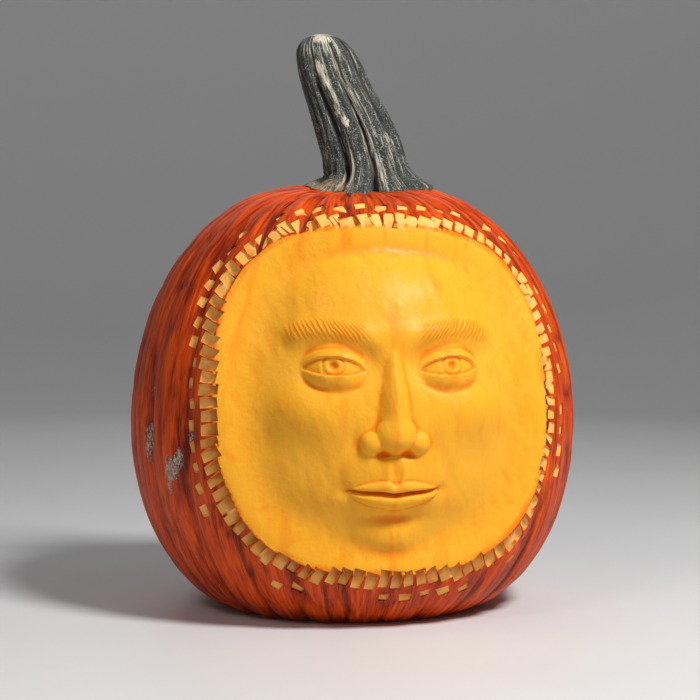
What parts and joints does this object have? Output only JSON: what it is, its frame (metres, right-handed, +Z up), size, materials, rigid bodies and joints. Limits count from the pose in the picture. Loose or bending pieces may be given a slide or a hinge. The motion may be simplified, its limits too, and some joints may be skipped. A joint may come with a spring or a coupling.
{
  "type": "carved pumpkin",
  "caption": "Whole ribbed pumpkin on its own flat underside, with a leaning ridged stem and a face carved in relief into a notched field on one side.",
  "frame": {"origin": "middle of the flat ring that the pumpkin rests on, under the middle of its box", "axes": "+Z up, the carved face looks along -Y, +X to the right when looking at the face"},
  "size_m": [0.3076, 0.3052, 0.3966],
  "materials": {
    "rind": "waxy ribbed orange rind, satin",
    "flesh": "freshly cut moist yellow flesh, satin",
    "stem": "dry ridged grey-green stem with pale streaks, matte"
  },
  "bodies": {
    "root": {"pumpkin": "rind"}
  },
  "joints": []
}
